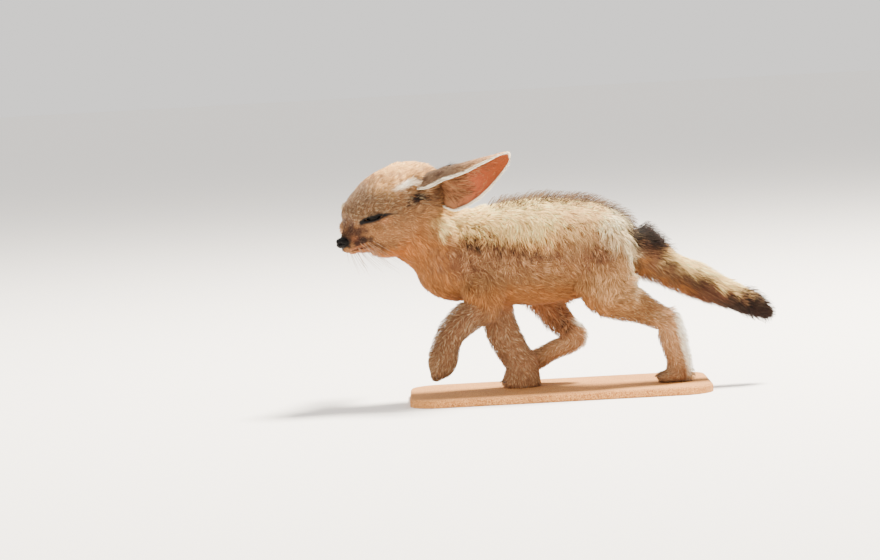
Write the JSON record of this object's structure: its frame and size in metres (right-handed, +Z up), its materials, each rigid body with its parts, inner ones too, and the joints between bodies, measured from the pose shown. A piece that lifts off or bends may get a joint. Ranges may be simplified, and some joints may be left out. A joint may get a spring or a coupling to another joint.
{
  "type": "fennec fox",
  "caption": "Life-size young fennec fox in mid stride, long ears and brush tail, on a thin flat base: a still display animal for desert and zoo scenes.",
  "frame": {"origin": "centre of the underside of the base", "axes": "+X from nose to tail, +Y to the fox's right, +Z up"},
  "size_m": [0.427, 0.1843, 0.2464],
  "materials": {
    "fur_sand": "matte",
    "fur_dark": "matte",
    "nose_leather": "satin",
    "eye_glass": "gloss",
    "base_board": "matte"
  },
  "bodies": {
    "root": {"head": "fur_sand", "neck": "fur_sand", "torso": "fur_sand", "ear_left": "fur_sand", "ear_right": "fur_sand", "eye_left": "eye_glass", "eye_right": "eye_glass", "nose": "nose_leather", "foreleg_left": "fur_sand", "forepaw_left": "fur_sand", "foreleg_right": "fur_sand", "forepaw_right": "fur_sand", "hindleg_left": "fur_sand", "hindfoot_left": "fur_sand", "hindpaw_left": "fur_sand", "hindleg_right": "fur_sand", "hindfoot_right": "fur_sand", "hindpaw_right": "fur_sand", "tail_root": "fur_sand", "tail_middle": "fur_sand", "tail_tip": "fur_dark", "stand_base": "base_board"}
  },
  "joints": []
}
